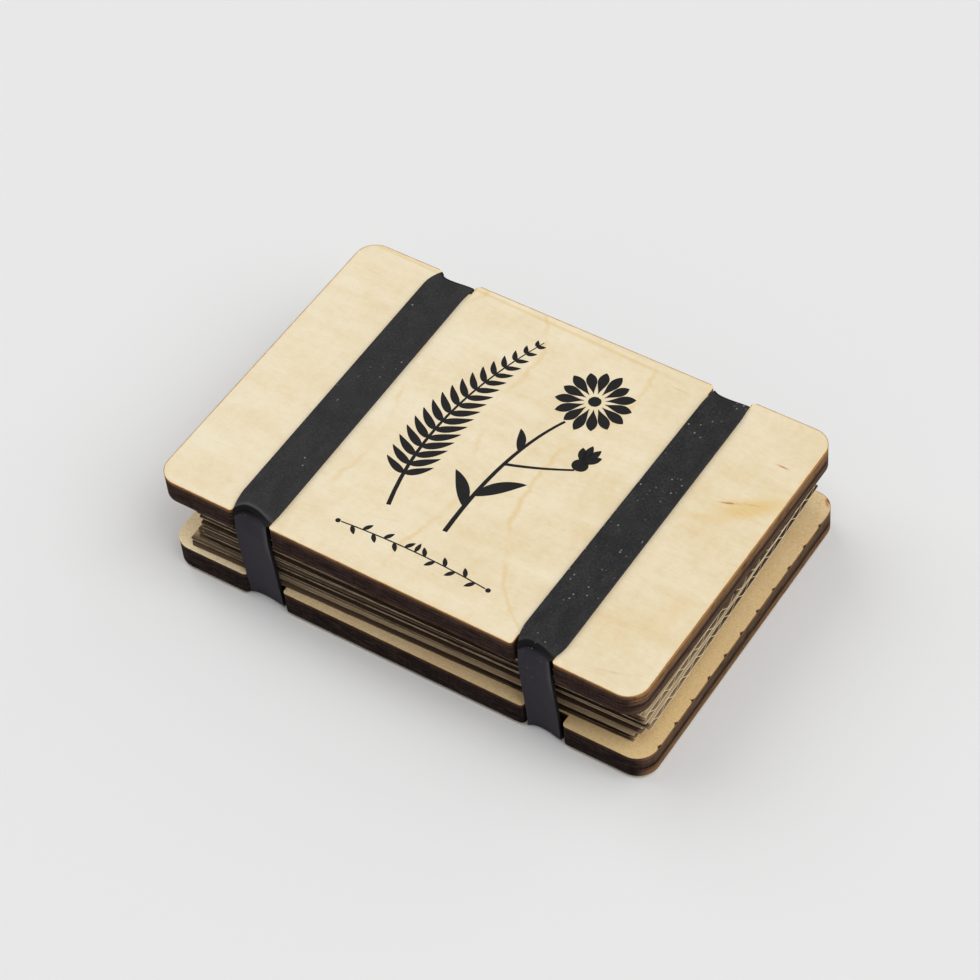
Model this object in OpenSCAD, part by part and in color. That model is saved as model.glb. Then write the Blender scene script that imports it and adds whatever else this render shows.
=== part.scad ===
// Pocket flower press. Two laminated birch boards, notched for two flat rubber bands, squeeze a stack of
// corrugated cards with a pair of blotting papers between each card and the next. X runs along the press,
// Y across it to the back and Z up. The origin lies under the middle of the press, where the bands stand on
// the table.

/* [Boards] */
// Length of each board, along X
board_l = 130; // [124:1:170]
// Width of each board, along Y
board_w = 87; // [84:0.5:110]
// Thickness of one veneer, five of which are glued crosswise into a board
ply_t = 1.3; // [0.9:0.1:2]
// Radius of each board's four corners
board_corner_r = 5.2; // [2:0.2:10]
// How far the bands have let the lower board slip past the upper one, along X
board_slip = 1.2; // [0:0.1:1.5]
// How far it has crept out to the front as well
board_creep = 0.7; // [0:0.1:0.9]
// How many degrees it has turned under the upper one
board_turn = 0.43; // [0:0.01:0.6]

/* [Band notches] */
// Width of each notch in a board's long edge
notch_w = 10.2; // [9:0.2:14]
// How deep each notch is cut into the edge
notch_depth = 3.2; // [1.4:0.1:4]
// Radius that eases the two corners of a notch's mouth
notch_mouth_r = 1.2; // [0.4:0.1:1.3]
// Distance from each end of a board to the middle of the notches there, along X
notch_inset = 27; // [21:0.2:36]

/* [Rubber bands] */
// Width of a band where it lies flat on a board
band_w = 11.2; // [8:0.2:14]
// Thickness of a band
band_t = 1; // [0.6:0.1:1.6]
// Length over which a band draws in on its way into a notch
band_draw_l = 7; // [3:0.5:12]
// Outer radius of a band where it folds over a board's edge
band_fold_r = 1.3; // [0.6:0.1:1.6]
// How far the corners of the turned cards push the left band's front run out of its notches
left_push = 1.9; // [0:0.1:2]
// How far their front edges push the right band's front run out
right_push = 0.6; // [0:0.1:1.5]

/* [Cards] */
// Length of each card, along X
sheet_l = 119; // [100:1:122]
// Width of each card, along Y
sheet_w = 79; // [70:0.5:79.5]
// Radius of the worn corners of each card
sheet_corner_r = 0.4; // [0.2:0.1:4]
// Thickness of a card over both its liners
card_t = 2.6; // [2:0.1:4]
// Thickness of the flat paper liner on each face of a card
liner_t = 0.26; // [0.2:0.02:0.4]
// Thickness of the fluted paper between a card's liners
medium_t = 0.2; // [0.14:0.02:0.3]
// Distance from one flute to the next
flute_pitch = 6.4; // [4:0.2:9]

/* [Blotting papers] */
// Thickness of one sheet of blotting paper
paper_t = 0.2; // [0.1:0.02:0.6]
// How much shorter than a card each end of a paper is cut
paper_inset = 0.4; // [0:0.1:2]

/* [Hidden] */
$fn = 48;

// Clearances, and the overrun of cuts past a face
lay_gap = 0.02;
band_seat_gap = 0.02;
band_side_gap = 0.1;
sheet_side_gap = 0.15;
overrun = 1;

// Counts
plies = 5;
cards = 5;
flute_steps = 12;
draw_steps = 10;

// How deep a flute's crest is pressed into the glue on its liner
glue_bite = 0.04;

// Heights from the table up. The stack is numbered from its top card down
board_t = plies * ply_t;
lower_board_z = band_t + band_seat_gap;
stack_z = lower_board_z + board_t;
layer_h = card_t + 2 * paper_t + 3 * lay_gap;
stack_h = (cards - 1) * layer_h + card_t + 2 * lay_gap;
upper_board_z = stack_z + stack_h;
press_h = upper_board_z + board_t + band_seat_gap + band_t;

// How much further a turned board reaches along X and along Y than one that lies square
turned_extra = [
    (board_w / 2 - board_corner_r) * sin(board_turn),
    (board_l / 2 - board_corner_r) * sin(board_turn)
];

// Where each board's middle lies in plan and how far it is turned, with the whole press centred
upper_place = [-(board_slip + turned_extra[0]) / 2, (board_creep + turned_extra[1]) / 2, 0];
lower_place = upper_place + [board_slip, -board_creep, board_turn];

// The notches, and how far the middle of one strays from its band's
notch_x = board_l / 2 - notch_inset;
notch_floor_y = board_w / 2 - notch_depth;
notch_stray = max(-upper_place[0], lower_place[0] + board_w / 2 * sin(board_turn));

// Where a band has drawn in to the width that its notches leave, and where it stops lying in the upper ones
band_waist_w = notch_w - 2 * (notch_stray + band_side_gap);
band_dive_y = notch_floor_y - upper_place[1];
band_grip_z = upper_board_z + (plies - 1) * ply_t;

// The play that the boards' ends leave a sheet
end_room = (board_l - sheet_l) / 2;

// How each card lies: shares of end_room along X, of the room beside it along Y and of its turn limit. The
// last two add up to 1 at most, which is a card's edge against the left band
card_lie_shares = [
    [0.46, -0.58, 0.36], [0.60, -0.52, 0.46], [0.61, -0.32, 0.65], [0.25, -0.18, 0.44], [-0.09, -0.51, 0.45]
];
// The same for the two papers under each of the upper four cards
paper_lie_shares = [
    [[0.50, -0.56, 0.38], [0.60, -0.52, 0.43]],
    [[0.58, -0.50, 0.46], [0.56, -0.40, 0.52]],
    [[0.50, -0.33, 0.60], [0.36, -0.26, 0.54]],
    [[0.20, -0.21, 0.45], [0.06, -0.36, 0.49]]
];
// Where each card is cut across its flutes, and how far the flutes drift along its length, in pitches
flute_cut_shares = [
    [0.30, 0.45], [0.02, 0.20], [0.93, -0.15], [0.08, -0.30], [0.62, 0.40]
];

function card_z(n) = stack_z + lay_gap + (cards - n) * layer_h;
function paper_z(n, lower) = card_z(n) - (paper_t + lay_gap) * (lower ? 2 : 1);
function ply_z(board_z, n) = board_z + (n - 1) * ply_t;

// Y of the inner face of a band that lies in the notches of the board at a place. Side is -1 for the left
// band and 1 for the right one, and way is -1 for its front run and 1 for its back one
function run_y(place, side, way) =
    place[1] + side * notch_x * sin(place[2])
    + way * (notch_floor_y + notch_w / 2 * sin(place[2]) + band_seat_gap);

// Corners of a run of a band from the top down, on its inner face or a distance out from it
function run_points(side, way, out) =
    let (
        upper_y = run_y(upper_place, side, way) + way * out,
        lower_y = run_y(lower_place, side, way) + way * out,
        push = way > 0 ? 0 : side < 0 ? -left_push : -right_push
    ) [
        [upper_y, press_h - band_t + out],
        [upper_y, band_grip_z],
        [upper_y + push, upper_board_z],
        [lower_y + push, stack_z],
        [lower_y + push, band_t - out]
    ];

// The play beside a sheet that lies square in the middle, up to the left band's front run, and the most that
// the sheet may turn. Only its top counts, because that run leans out on its way down
function side_room(top_z) =
    let (
        down_share = (upper_board_z - top_z) / stack_h,
        run_reach = -run_y(upper_place, -1, -1) * (1 - down_share) - run_y(lower_place, -1, -1) * down_share
    ) run_reach + left_push - sheet_w / 2 - sheet_side_gap;
function turn_limit(lie, top_z) = atan(side_room(top_z) / (notch_x + band_waist_w / 2 + lie[0] * end_room));

// Down the front run and up the back one
function loop_outline(side, out) =
    let (back = run_points(side, 1, out))
    concat(run_points(side, -1, out), [for (i = [len(back) - 1 : -1 : 0]) back[i]]);

// Half the width of a band at a distance y from the press's long axis
function draw_share(y) = min(1, max(0, (band_dive_y - y) / band_draw_l));
function band_half_w(y) = band_waist_w / 2 + (band_w - band_waist_w) / 2 * (1 - cos(180 * draw_share(y))) / 2;

// Height and slope of the fluted paper's middle at a distance y across the flutes
flute_amp = card_t / 2 - liner_t - medium_t / 2 + glue_bite;
function flute_z(y, cut) = flute_amp * cos(360 * (y / flute_pitch + cut));
function flute_slope(y, cut) = -flute_amp * 2 * PI / flute_pitch * sin(360 * (y / flute_pitch + cut));
function flute_point(y, cut, side) =
    let (m = flute_slope(y, cut), k = side * medium_t / 2 / sqrt(1 + m * m))
    [y - k * m, flute_z(y, cut) + k];

module rounded_rectangle(length, width, r) {
    square([length - 2 * r, width], center = true);
    square([length, width - 2 * r], center = true);
    for (x = [-1, 1], y = [-1, 1])
        translate([x * (length / 2 - r), y * (width / 2 - r)]) circle(r);
}

// What one notch takes out of a board whose long edge lies on the X axis, with the wood below it
module notch_outline() {
    mouth_w = notch_w + 2 * notch_mouth_r;
    translate([-notch_w / 2, -notch_depth]) square([notch_w, notch_depth + overrun]);
    difference() {
        translate([-mouth_w / 2, -notch_mouth_r]) square([mouth_w, notch_mouth_r + overrun]);
        for (x = [-1, 1]) translate([x * mouth_w / 2, -notch_mouth_r]) circle(notch_mouth_r);
    }
}

module board_outline() {
    difference() {
        rounded_rectangle(board_l, board_w, board_corner_r);
        for (x = [-1, 1], turn = [0, 180])
            rotate(turn) translate([x * notch_x, board_w / 2]) notch_outline();
    }
}

module ply(place, z, tint) {
    color(tint) translate([place[0], place[1], z]) rotate(place[2]) linear_extrude(ply_t) board_outline();
}

module upper_ply(n, tint) {
    ply(upper_place, ply_z(upper_board_z, n), tint);
}

module lower_ply(n, tint) {
    ply(lower_place, ply_z(lower_board_z, n), tint);
}

module upper_board_face_veneer() { upper_ply(5, "BurlyWood"); }
module upper_board_outer_crossband() { upper_ply(4, "Sienna"); }
module upper_board_core_veneer() { upper_ply(3, "SaddleBrown"); }
module upper_board_inner_crossband() { upper_ply(2, "Sienna"); }
module upper_board_inside_veneer() { upper_ply(1, "Tan"); }
module lower_board_inside_veneer() { lower_ply(5, "Tan"); }
module lower_board_inner_crossband() { lower_ply(4, "Sienna"); }
module lower_board_core_veneer() { lower_ply(3, "SaddleBrown"); }
module lower_board_outer_crossband() { lower_ply(2, "Sienna"); }
module lower_board_face_veneer() { lower_ply(1, "BurlyWood"); }

// Lays a sheet of thickness t at height z, where its row of shares says
module lay(lie, z, t) {
    translate([lie[0] * end_room, lie[1] * side_room(z + t), z])
        rotate(lie[2] * turn_limit(lie, z + t))
            children();
}

// Section across the flutes, with the card's underside on the X axis: what is left of the card once the
// space between its liners is cleared, but for the fluted paper
module flute_section(cut) {
    reach = sheet_w / 2 + flute_pitch;
    step = flute_pitch / flute_steps;
    difference() {
        translate([-reach, 0]) square([2 * reach, card_t]);
        difference() {
            translate([-reach - overrun, liner_t])
                square([2 * (reach + overrun), card_t - 2 * liner_t]);
            translate([0, card_t / 2]) polygon([
                for (y = [-reach - flute_pitch : step : reach + flute_pitch]) flute_point(y, cut, 1),
                for (y = [reach + flute_pitch : -step : -reach - flute_pitch]) flute_point(y, cut, -1)
            ]);
        }
    }
}

// A fluted card, trimmed to its outline from a longer stretch of board
module corrugated_card(n) {
    cut = flute_cut_shares[n - 1][0];
    drift = atan(flute_cut_shares[n - 1][1] * flute_pitch / sheet_l);
    color("Peru") lay(card_lie_shares[n - 1], card_z(n), card_t) intersection() {
        translate([0, 0, -overrun])
            linear_extrude(card_t + 2 * overrun) rounded_rectangle(sheet_l, sheet_w, sheet_corner_r);
        rotate(drift) rotate([90, 0, 90])
            linear_extrude(sheet_l + 2 * flute_pitch, center = true) flute_section(cut);
    }
}

module blotter(n, lower) {
    length = sheet_l - 2 * paper_inset;
    width = sheet_w - 2 * paper_inset;
    color("AntiqueWhite") lay(paper_lie_shares[n - 1][lower ? 1 : 0], paper_z(n, lower), paper_t)
        linear_extrude(paper_t) rounded_rectangle(length, width, sheet_corner_r);
}

// What rounds off an outer corner of a band's loop. Unturned, it is the corner that points up and back
module fold_trim(corner, turn) {
    translate(corner) rotate(turn) translate([-band_fold_r, -band_fold_r]) difference() {
        square(band_fold_r + overrun);
        circle(band_fold_r);
    }
}

// Section of a band's closed loop, Y to the right and Z up
module band_loop(side) {
    front = run_points(side, -1, band_t);
    back = run_points(side, 1, band_t);
    last = len(front) - 1;
    difference() {
        polygon(loop_outline(side, band_t));
        polygon(loop_outline(side, 0));
        fold_trim(back[0], 0);
        fold_trim(front[0], 90);
        fold_trim(front[last], 180);
        fold_trim(back[last], 270);
    }
}

// Plan of a band: full width over the board, drawn in where it dives into its notches
module band_plan() {
    end_y = board_w / 2 + overrun;
    start_y = band_dive_y - band_draw_l;
    ys = [for (i = [0 : draw_steps]) start_y + i * band_draw_l / draw_steps];
    half = concat(
        [for (y = ys) [band_half_w(y), y]],
        [[band_half_w(end_y), end_y]]
    );
    far = [for (i = [len(half) - 1 : -1 : 0]) half[i]];
    polygon(concat(
        half,
        [for (p = far) [-p[0], p[1]]],
        [for (p = half) [-p[0], -p[1]]],
        [for (p = far) [p[0], -p[1]]]
    ));
}

module rubber_band(side) {
    color("DimGray") translate([side * notch_x, 0, 0]) intersection() {
        rotate([90, 0, 90]) linear_extrude(band_w + 2 * overrun, center = true) band_loop(side);
        translate([0, 0, -overrun]) linear_extrude(press_h + 2 * overrun) band_plan();
    }
}

module rubber_band_left() { rubber_band(-1); }
module rubber_band_right() { rubber_band(1); }

upper_board_face_veneer();
upper_board_outer_crossband();
upper_board_core_veneer();
upper_board_inner_crossband();
upper_board_inside_veneer();
corrugated_card(1);  // corrugated_card_1
blotter(1, false);  // blotter_1_upper
blotter(1, true);  // blotter_1_lower
corrugated_card(2);  // corrugated_card_2
blotter(2, false);  // blotter_2_upper
blotter(2, true);  // blotter_2_lower
corrugated_card(3);  // corrugated_card_3
blotter(3, false);  // blotter_3_upper
blotter(3, true);  // blotter_3_lower
corrugated_card(4);  // corrugated_card_4
blotter(4, false);  // blotter_4_upper
blotter(4, true);  // blotter_4_lower
corrugated_card(5);  // corrugated_card_5
lower_board_inside_veneer();
lower_board_inner_crossband();
lower_board_core_veneer();
lower_board_outer_crossband();
lower_board_face_veneer();
rubber_band_left();
rubber_band_right();
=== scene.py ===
"""Pocket flower press: birch boards, corrugated cards and blotting papers between two flat rubber bands.

Lengths are named in millimetres and turned into metres with MM. X runs along the press, Y across it and Z up,
and the press stands on z = 0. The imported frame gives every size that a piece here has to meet.
"""

import math

import bpy
import numpy as np
from mathutils import Matrix, Vector


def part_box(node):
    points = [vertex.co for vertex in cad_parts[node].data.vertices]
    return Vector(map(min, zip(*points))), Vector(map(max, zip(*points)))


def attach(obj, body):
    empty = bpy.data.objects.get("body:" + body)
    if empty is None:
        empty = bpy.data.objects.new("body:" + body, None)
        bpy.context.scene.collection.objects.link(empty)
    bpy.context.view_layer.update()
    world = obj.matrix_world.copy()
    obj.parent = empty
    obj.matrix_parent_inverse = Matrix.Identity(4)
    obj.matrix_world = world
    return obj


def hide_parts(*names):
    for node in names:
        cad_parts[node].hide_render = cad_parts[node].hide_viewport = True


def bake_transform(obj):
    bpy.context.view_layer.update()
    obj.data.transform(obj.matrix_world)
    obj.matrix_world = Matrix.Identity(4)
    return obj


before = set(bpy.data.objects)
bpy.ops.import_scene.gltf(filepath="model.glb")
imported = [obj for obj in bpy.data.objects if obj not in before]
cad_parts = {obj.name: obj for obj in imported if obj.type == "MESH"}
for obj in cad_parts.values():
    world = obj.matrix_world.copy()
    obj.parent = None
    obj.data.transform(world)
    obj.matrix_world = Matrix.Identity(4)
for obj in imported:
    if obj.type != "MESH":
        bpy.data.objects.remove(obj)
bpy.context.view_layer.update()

MM = 0.001


def box_mm(node):
    """Lowest and highest corner of a node at rest, in millimetres."""
    low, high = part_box(node)
    return low / MM, high / MM


# What the frame says about the pieces that others are placed by
UPPER_LOW, UPPER_HIGH = box_mm("upper_board_face_veneer")
UPPER_UNDERSIDE = box_mm("upper_board_inside_veneer")[0].z
LOWER_LOW, LOWER_HIGH = box_mm("lower_board_inside_veneer")
BAND_LOW, BAND_HIGH = box_mm("rubber_band_left")
BOARD_HALF_L = (UPPER_HIGH.x - UPPER_LOW.x) / 2
BOARD_HALF_W = (UPPER_HIGH.y - UPPER_LOW.y) / 2

# Where each board's middle lies in plan, in mm, and how many degrees it is turned
LOWER_TURN = 0.43
UPPER_PLACE = (*((UPPER_LOW + UPPER_HIGH) / 2).xy, 0.0)
LOWER_PLACE = (*((LOWER_LOW + LOWER_HIGH) / 2).xy, LOWER_TURN)

# The boards' outline, as it was cut
PLY_T = 1.3
BOARD_CORNER_R = 5.2
NOTCH_X = 38.0
NOTCH_W = 10.2
NOTCH_DEPTH = 3.2

# Camera: the point it looks at, the angles round that point, how far away it is, and its lens
LOOK_AT = Vector((3.978, -8.315, 28.9)) * MM
CAMERA_AZIMUTH = 37.958
CAMERA_ELEVATION = 49.453
CAMERA_ROLL = -6.253
CAMERA_DISTANCE = 731.16 * MM
LENS = 118.489
SENSOR_W = 36.0

# The floor: half its length in metres, and how far it lies under the press
FLOOR_HALF_L = 4.0
FLOOR_DROP = 0.02

# Lights: azimuth from -Y towards +X, elevation, width of the soft disc they shine from, all in degrees,
# and the share of the light on a level surface that each gives. The sky gives the rest.
SKY_SHARE = 0.25
WINDOWS = {
    "ceiling": (90, 75, 50, 0.245),
    "window_right": (94, 49, 50, 0.245),
    "window_left": (262, 48, 50, 0.215),
    "window_back": (150, 26, 50, 0.045),
}


def srgb(red, green, blue):
    """A colour written as it looks on screen, 0 to 255, as the linear colour that shaders mix."""
    levels = (red / 255, green / 255, blue / 255)
    return tuple(c / 12.92 if c <= 0.04045 else ((c + 0.055) / 1.055) ** 2.4 for c in levels) + (1.0,)


FLOOR_TONE = srgb(232, 232, 232)
BIRCH_PALE = srgb(240, 228, 200)
BIRCH_TAN = srgb(226, 203, 158)
INSIDE_PALE = srgb(242, 222, 182)
INSIDE_TAN = srgb(222, 190, 138)
INSIDE_GOLD = srgb(236, 205, 148)
# Painted light for the left end of the lower board's inside face
INSIDE_PAINTED_LIGHT = srgb(252, 234, 196)
SPECK_BROWN = srgb(178, 142, 92)
STREAK_AMBER = srgb(186, 116, 44)
RING_AMBER = srgb(226, 192, 126)
SMUDGE_YELLOW = srgb(226, 192, 120)
SCORCH_GLOW = srgb(240, 200, 130)
SCORCH_BROWN = srgb(116, 72, 38)
# Painted highlight for the top rim of the upper board's edges
RIM_HIGHLIGHT_ORANGE = srgb(214, 150, 84)
CHAR_AMBER = srgb(196, 150, 96)
CHAR_TAWNY = srgb(140, 104, 72)
CHAR_UMBER = srgb(100, 78, 62)
CHAR_DARK = srgb(80, 58, 48)
CHAR_BLACK = srgb(54, 39, 36)
CHAR_COAL = srgb(38, 28, 27)
SOOT = srgb(16, 11, 10)
KRAFT_PALE = srgb(250, 236, 200)
KRAFT_MEDIUM = srgb(236, 216, 176)
KRAFT_FACE = srgb(200, 176, 140)
KRAFT_SHADE = srgb(120, 98, 74)
KRAFT_SINGED = srgb(184, 168, 146)
KRAFT_SINGED_MEDIUM = srgb(112, 98, 84)
# Painted shade for the margins of the sheets' flat faces
KRAFT_MARGIN_SHADE = srgb(92, 78, 64)
FLUTE_HOLLOW = srgb(176, 150, 118)
# Painted shade deep inside the flutes
FLUTE_DEEP_SHADE = srgb(92, 73, 56)
PAPER_WHITE = srgb(238, 230, 208)
PAPER_TAN = srgb(206, 186, 152)
PAPER_SHADE = srgb(170, 148, 118)
RUBBER_BLACK = srgb(40, 40, 40)
RUBBER_DARK = srgb(33, 33, 35)
RUBBER_WORN = srgb(64, 64, 64)
RUBBER_SIDE = srgb(57, 53, 61)
# Painted shade for the crease under a band's lip and for its cut edges
RUBBER_PAINTED_SHADE = srgb(10, 9, 11)
# Painted highlight for a band's crest and right edge
RUBBER_HIGHLIGHT = srgb(92, 92, 92)
TALC = srgb(168, 168, 162)
INK_BLACK = srgb(20, 18, 18)
INK_THIN = srgb(44, 38, 33)


def link_object(name, data):
    made = bpy.data.objects.new(name, data)
    bpy.context.scene.collection.objects.link(made)
    return made


def direction(azimuth, elevation):
    """Unit vector towards an azimuth, counted from -Y towards +X, and an elevation, both in degrees."""
    a, e = math.radians(azimuth), math.radians(elevation)
    return Vector((math.sin(a) * math.cos(e), -math.cos(a) * math.cos(e), math.sin(e)))


def add_camera():
    data = bpy.data.cameras.new("camera")
    data.lens = LENS
    data.sensor_width = SENSOR_W
    camera = link_object("camera", data)
    back = direction(CAMERA_AZIMUTH, CAMERA_ELEVATION)
    roll = Matrix.Rotation(math.radians(CAMERA_ROLL), 3, "Z").to_quaternion()
    camera.rotation_mode = "QUATERNION"
    camera.rotation_quaternion = back.to_track_quat("Z", "Y") @ roll
    camera.location = LOOK_AT + back * CAMERA_DISTANCE
    bpy.context.scene.camera = camera


def add_lights():
    """A pale sky and four soft windows, which together show a level surface in the colour it is written in."""
    world = bpy.data.worlds.new("studio")
    world.use_nodes = True
    tree = world.node_tree
    sky = tree.nodes["Background"]
    sky.inputs["Strength"].default_value = SKY_SHARE
    sky.inputs["Color"].default_value = (1.0, 1.0, 1.0, 1.0)
    seen = tree.nodes.new("ShaderNodeBackground")
    seen.inputs["Color"].default_value = FLOOR_TONE
    path = tree.nodes.new("ShaderNodeLightPath")
    choose = tree.nodes.new("ShaderNodeMixShader")
    tree.links.new(path.outputs["Is Camera Ray"], choose.inputs[0])
    tree.links.new(sky.outputs[0], choose.inputs[1])
    tree.links.new(seen.outputs[0], choose.inputs[2])
    tree.links.new(choose.outputs[0], tree.nodes["World Output"].inputs["Surface"])
    bpy.context.scene.world = world
    for name, (azimuth, elevation, spread, share) in WINDOWS.items():
        data = bpy.data.lights.new(name, "SUN")
        data.energy = share * math.pi / math.sin(math.radians(elevation))
        data.angle = math.radians(spread)
        window = link_object(name, data)
        window.rotation_mode = "QUATERNION"
        window.rotation_quaternion = direction(azimuth, elevation).to_track_quat("Z", "Y")
    bpy.context.scene.view_settings.view_transform = "Standard"


def add_floor():
    half, z = FLOOR_HALF_L, -FLOOR_DROP * MM
    corners = [(-half, -half, z), (half, -half, z), (half, half, z), (-half, half, z)]
    mesh = bpy.data.meshes.new("floor")
    mesh.from_pydata(corners, [], [(0, 1, 2, 3)])
    material = bpy.data.materials.new("floor_paper")
    material.use_nodes = True
    shader = material.node_tree.nodes["Principled BSDF"]
    shader.inputs["Base Color"].default_value = FLOOR_TONE
    shader.inputs["Roughness"].default_value = 1.0
    shader.inputs["Specular IOR Level"].default_value = 0.0
    mesh.materials.append(material)
    link_object("floor", mesh)


# Sums on a surface

def wire(tree, value, socket):
    """Links a field, paint or socket to a node's socket, or sets the socket to a plain value."""
    value = getattr(value, "socket", value)
    if isinstance(value, bpy.types.NodeSocket):
        tree.links.new(value, socket)
    else:
        socket.default_value = value


class Field:
    """A number that changes over a surface. A sum with fields and plain numbers adds Math nodes to its tree."""

    def __init__(self, tree, socket):
        self.tree = tree
        self.socket = socket

    def sum(self, operation, *values):
        node = self.tree.nodes.new("ShaderNodeMath")
        node.operation = operation
        for slot, value in zip(node.inputs, values):
            wire(self.tree, value, slot)
        return Field(self.tree, node.outputs[0])

    def __add__(self, other):
        return self.sum("ADD", self, other)

    def __sub__(self, other):
        return self.sum("SUBTRACT", self, other)

    def __rsub__(self, other):
        return self.sum("SUBTRACT", other, self)

    def __mul__(self, other):
        return self.sum("MULTIPLY", self, other)

    def __truediv__(self, other):
        return self.sum("DIVIDE", self, other)

    __radd__ = __add__
    __rmul__ = __mul__

    def size(self):
        return self.sum("ABSOLUTE", self)

    def least(self, other):
        return self.sum("MINIMUM", self, other)

    def most(self, other):
        return self.sum("MAXIMUM", self, other)

    def held(self):
        """The number, held between 0 and 1."""
        return self.most(0).least(1)

    def root(self):
        return self.sum("SQRT", self)

    def part(self):
        """What is left over after whole numbers."""
        return self.sum("FRACT", self)

    def rise(self, low, high):
        """0 up to low, 1 from high on, and smooth between. With low above high it falls instead."""
        node = self.tree.nodes.new("ShaderNodeMapRange")
        node.interpolation_type = "SMOOTHSTEP"
        wire(self.tree, self, node.inputs["Value"])
        wire(self.tree, low, node.inputs["From Min"])
        wire(self.tree, high, node.inputs["From Max"])
        return Field(self.tree, node.outputs["Result"])


class Paint:
    """A colour that changes over a surface."""

    def __init__(self, tree, socket):
        self.tree = tree
        self.socket = socket

    def towards(self, colour, mask):
        """This colour where the mask is 0, the other where it is 1."""
        node = self.tree.nodes.new("ShaderNodeMix")
        node.data_type = "RGBA"
        by_kind = {s.identifier: s for s in node.inputs}
        wire(self.tree, mask, by_kind["Factor_Float"])
        wire(self.tree, self, by_kind["A_Color"])
        wire(self.tree, colour, by_kind["B_Color"])
        mixed = [s for s in node.outputs if s.identifier == "Result_Color"][0]
        return Paint(self.tree, mixed)


class Place:
    """A point on a piece in millimetres, or a direction, with x, y and z as fields."""

    def __init__(self, tree, socket):
        self.tree = tree
        self.socket = socket
        parts = tree.nodes.new("ShaderNodeSeparateXYZ")
        tree.links.new(socket, parts.inputs[0])
        self.x, self.y, self.z = (Field(tree, s) for s in parts.outputs)

    def noise(self, x_scale, y_scale, z_scale, detail=2.0, roughness=0.5, shift=0.0):
        """Noise from 0 to 1 about a half, whose grains are stretched by one scale along each axis."""
        bunch = self.tree.nodes.new("ShaderNodeCombineXYZ")
        parts = (self.x * x_scale + shift, self.y * y_scale, self.z * z_scale)
        for slot, value in zip(bunch.inputs, parts):
            wire(self.tree, value, slot)
        node = self.tree.nodes.new("ShaderNodeTexNoise")
        node.inputs["Scale"].default_value = 1.0
        node.inputs["Detail"].default_value = detail
        node.inputs["Roughness"].default_value = roughness
        self.tree.links.new(bunch.outputs[0], node.inputs["Vector"])
        return Field(self.tree, node.outputs["Fac"])

    def dots(self, cells):
        """One dot in each cell of a scattered grid: distance from the dot's middle, and the cell's own number."""
        node = self.tree.nodes.new("ShaderNodeTexVoronoi")
        node.inputs["Scale"].default_value = cells
        self.tree.links.new(self.socket, node.inputs["Vector"])
        parts = self.tree.nodes.new("ShaderNodeSeparateColor")
        self.tree.links.new(node.outputs["Color"], parts.inputs[0])
        return Field(self.tree, node.outputs["Distance"]), Field(self.tree, parts.outputs[0])


def surface_place(tree, board_place=(0.0, 0.0, 0.0)):
    """Object coordinates in millimetres, from the middle of a board that lies at a place and is turned there."""
    x, y, turn = board_place
    source = tree.nodes.new("ShaderNodeTexCoord")
    shift = tree.nodes.new("ShaderNodeMapping")
    shift.vector_type = "TEXTURE"
    shift.inputs["Location"].default_value = (x * MM, y * MM, 0.0)
    shift.inputs["Rotation"].default_value = (0.0, 0.0, math.radians(turn))
    shift.inputs["Scale"].default_value = (MM, MM, MM)
    tree.links.new(source.outputs["Object"], shift.inputs["Vector"])
    return Place(tree, shift.outputs[0])


def surface_facing(tree):
    """The way a surface faces, in the piece's own axes."""
    source = tree.nodes.new("ShaderNodeTexCoord")
    return Place(tree, source.outputs["Normal"])


def new_group(name, inputs, outputs):
    """An effect that several materials share: its tree, and its inputs and outputs by name."""
    group = bpy.data.node_groups.new(name, "ShaderNodeTree")
    for label, kind in inputs.items():
        group.interface.new_socket(label, in_out="INPUT", socket_type="NodeSocket" + kind)
    for label, kind in outputs.items():
        group.interface.new_socket(label, in_out="OUTPUT", socket_type="NodeSocket" + kind)
    given = group.nodes.new("NodeGroupInput").outputs
    result = group.nodes.new("NodeGroupOutput").inputs
    return group, given, result


def use_group(tree, group, **values):
    """Places a shared effect in a material and gives back its outputs by name."""
    node = tree.nodes.new("ShaderNodeGroup")
    node.node_tree = group
    for label, value in values.items():
        wire(tree, value, node.inputs[label.replace("_", " ")])
    return {s.name: Field(tree, s) if s.type == "VALUE" else Paint(tree, s) for s in node.outputs}


def new_material(name, roughness, specular):
    """A material with one shader, and the tree that its finish is built in."""
    material = bpy.data.materials.new(name)
    material.use_nodes = True
    tree = material.node_tree
    shader = tree.nodes["Principled BSDF"]
    shader.inputs["Roughness"].default_value = roughness
    shader.inputs["Specular IOR Level"].default_value = specular
    return material, tree, shader


def raise_surface(tree, shader, height, depth_mm):
    """Bumps the surface by a height from 0 to 1 times a depth."""
    bump = tree.nodes.new("ShaderNodeBump")
    bump.inputs["Distance"].default_value = depth_mm * MM
    wire(tree, height, bump.inputs["Height"])
    tree.links.new(bump.outputs["Normal"], shader.inputs["Normal"])


def dress(names, material):
    for name in names:
        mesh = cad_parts[name].data
        mesh.materials.clear()
        mesh.materials.append(material)


# Shared effects

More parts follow.
